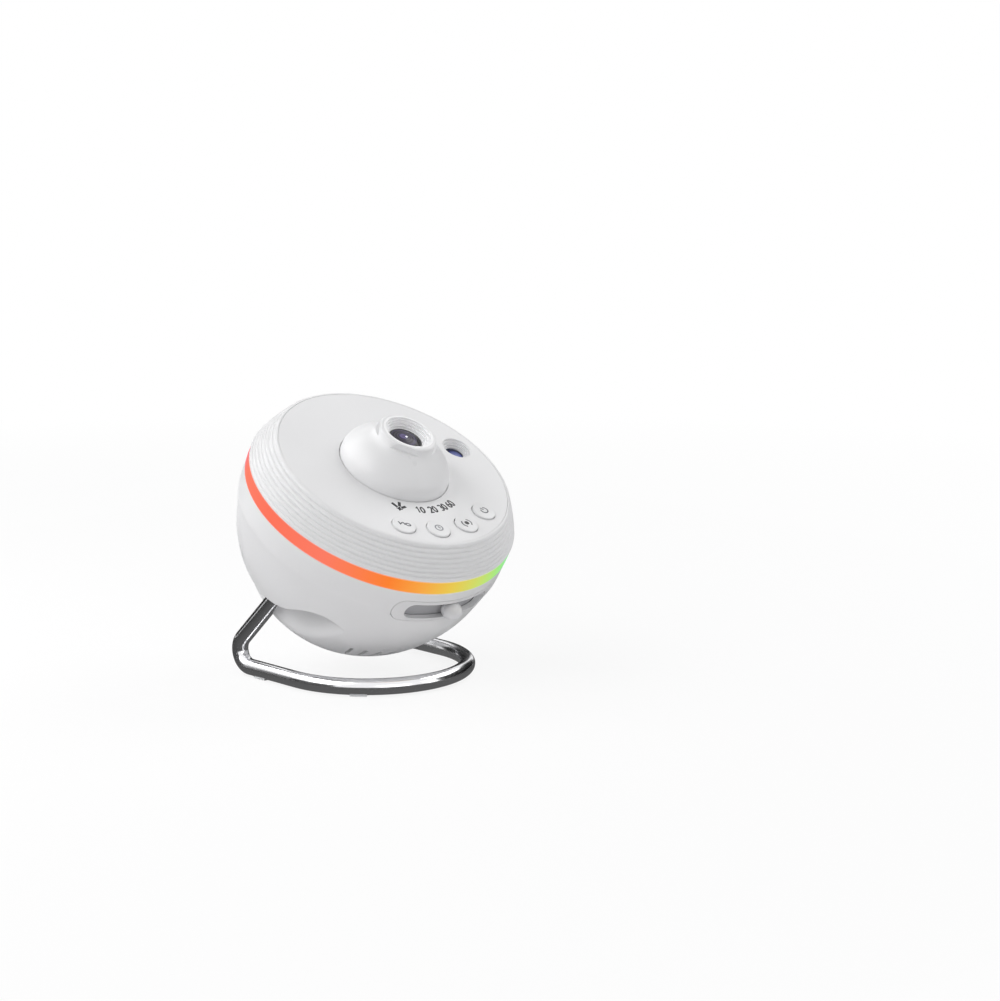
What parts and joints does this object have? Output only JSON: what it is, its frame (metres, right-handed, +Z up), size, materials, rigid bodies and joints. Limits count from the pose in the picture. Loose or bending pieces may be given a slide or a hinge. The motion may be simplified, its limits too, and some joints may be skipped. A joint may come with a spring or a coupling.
{
  "type": "planetarium projector",
  "caption": "Ball-shaped star projector with a glowing band, lens dome, press buttons and focus slider, tilting on a bent chrome wire stand.",
  "frame": {"origin": "middle of the bounding box on the table plane", "axes": "+Z up, -Y the front where the ball looks and the focus slider sits, +X to the right seen from behind the object; the tilt axis lies along X"},
  "size_m": [0.1354, 0.1336, 0.1348],
  "materials": {
    "shell_white": "satin",
    "cover_white": "satin",
    "dome_white": "gloss",
    "bezel_grey": "satin",
    "knob_grey": "satin",
    "button_white": "satin",
    "band_diffuser": "satin, lit from inside",
    "black_plastic": "satin",
    "gear_nylon": "satin",
    "front_glass": "coated",
    "meteor_glass": "coated",
    "inner_glass": "polished",
    "film_glass": "printed",
    "rod_chrome": "polished",
    "foot_rubber": "clear silicone",
    "spring_steel": "satin",
    "screw_steel": "satin",
    "bush_plastic": "satin",
    "sheet_steel": "brushed",
    "sink_aluminium": "anodised",
    "board_green": "solder mask",
    "board_white": "solder mask",
    "chip_black": "matte",
    "led_yellow": "gloss",
    "motor_steel": "satin",
    "socket_steel": "satin"
  },
  "bodies": {
    "stand": {"stand_rod": "rod_chrome", "foot_pads": "foot_rubber", "pivot_clips": "spring_steel", "pivot_washers": "spring_steel"},
    "ball": {"lower_shell": "shell_white", "bottom_cap": "shell_white", "cap_screws": "screw_steel", "slider_bezel": "bezel_grey", "upper_shell": "shell_white", "top_cover": "cover_white", "case_screws": "screw_steel", "light_band": "band_diffuser", "band_board": "board_white", "band_leds": "led_yellow", "lens_dome": "dome_white", "funnel_ring": "cover_white", "focus_tube": "black_plastic", "focus_clip": "spring_steel", "disc_motor": "motor_steel", "gear_stage": "black_plastic", "stage_screws": "screw_steel", "lamp_housing": "black_plastic", "condenser_lens": "inner_glass", "chassis_plate": "sheet_steel", "chassis_screws": "screw_steel", "lamp_board": "board_white", "lamp_screws": "screw_steel", "lamp_emitter": "led_yellow", "heat_sink": "sink_aluminium", "meteor_lens": "meteor_glass", "meteor_tube": "black_plastic", "meteor_lamp": "motor_steel", "main_board": "board_green", "board_screws": "screw_steel", "tact_switches": "chip_black", "board_chips": "chip_black", "usb_board": "board_green", "usb_socket": "socket_steel", "pivot_bushes": "bush_plastic"},
    "focus_lever": {"focus_ring": "black_plastic", "focus_shutter": "bezel_grey", "focus_knob": "knob_grey"},
    "lens": {"lens_barrel": "black_plastic", "front_lens": "front_glass", "rear_lens": "inner_glass"},
    "picture_disc": {"disc_gear": "gear_nylon", "film_disc": "film_glass"},
    "pinion": {"motor_pinion": "gear_nylon"},
    "meteor_button_cap": {"meteor_button": "button_white"},
    "timer_button_cap": {"timer_button": "button_white"},
    "light_button_cap": {"light_button": "button_white"},
    "power_button_cap": {"power_button": "button_white"}
  },
  "joints": [
    {"name": "tilt", "type": "hinge", "parent": "stand", "child": "ball", "pos_m": [0, 0.00299, 0.0558], "axis": [1, 0, 0], "range_deg": [-30.5, 29.5]},
    {"name": "focus_swing", "type": "hinge", "parent": "ball", "child": "focus_lever", "pos_m": [0, 0.00237, 0.07458], "axis": [0, -0.5075, 0.8616], "range_deg": [-17.5, 17.5]},
    {"name": "lens_slide", "type": "slide", "parent": "ball", "child": "lens", "axis": [0, -0.5075, 0.8616], "range_m": [-0.0015, 0.0015]},
    {"name": "disc_spin", "type": "hinge", "parent": "ball", "child": "picture_disc", "pos_m": [0, 0.00871, 0.06381], "axis": [0, -0.5075, 0.8616], "continuous": true},
    {"name": "pinion_spin", "type": "hinge", "parent": "ball", "child": "pinion", "pos_m": [0, 0.03059, 0.07554], "axis": [0, -0.5075, 0.8616], "continuous": true},
    {"name": "meteor_button_press", "type": "slide", "parent": "ball", "child": "meteor_button_cap", "axis": [0, 0.5075, -0.8616], "range_m": [0, 0.0006], "stiffness_N_per_m": 400, "springref_m": -0.001},
    {"name": "timer_button_press", "type": "slide", "parent": "ball", "child": "timer_button_cap", "axis": [0, 0.5075, -0.8616], "range_m": [0, 0.0006], "stiffness_N_per_m": 400, "springref_m": -0.001},
    {"name": "light_button_press", "type": "slide", "parent": "ball", "child": "light_button_cap", "axis": [0, 0.5075, -0.8616], "range_m": [0, 0.0006], "stiffness_N_per_m": 400, "springref_m": -0.001},
    {"name": "power_button_press", "type": "slide", "parent": "ball", "child": "power_button_cap", "axis": [0, 0.5075, -0.8616], "range_m": [0, 0.0006], "stiffness_N_per_m": 400, "springref_m": -0.001}
  ],
  "couplings": [
    {"joint": "focus_swing", "follows": "lens_slide", "rad_per_m": -203.62},
    {"joint": "pinion_spin", "follows": "disc_spin", "ratio": -4.1667}
  ]
}
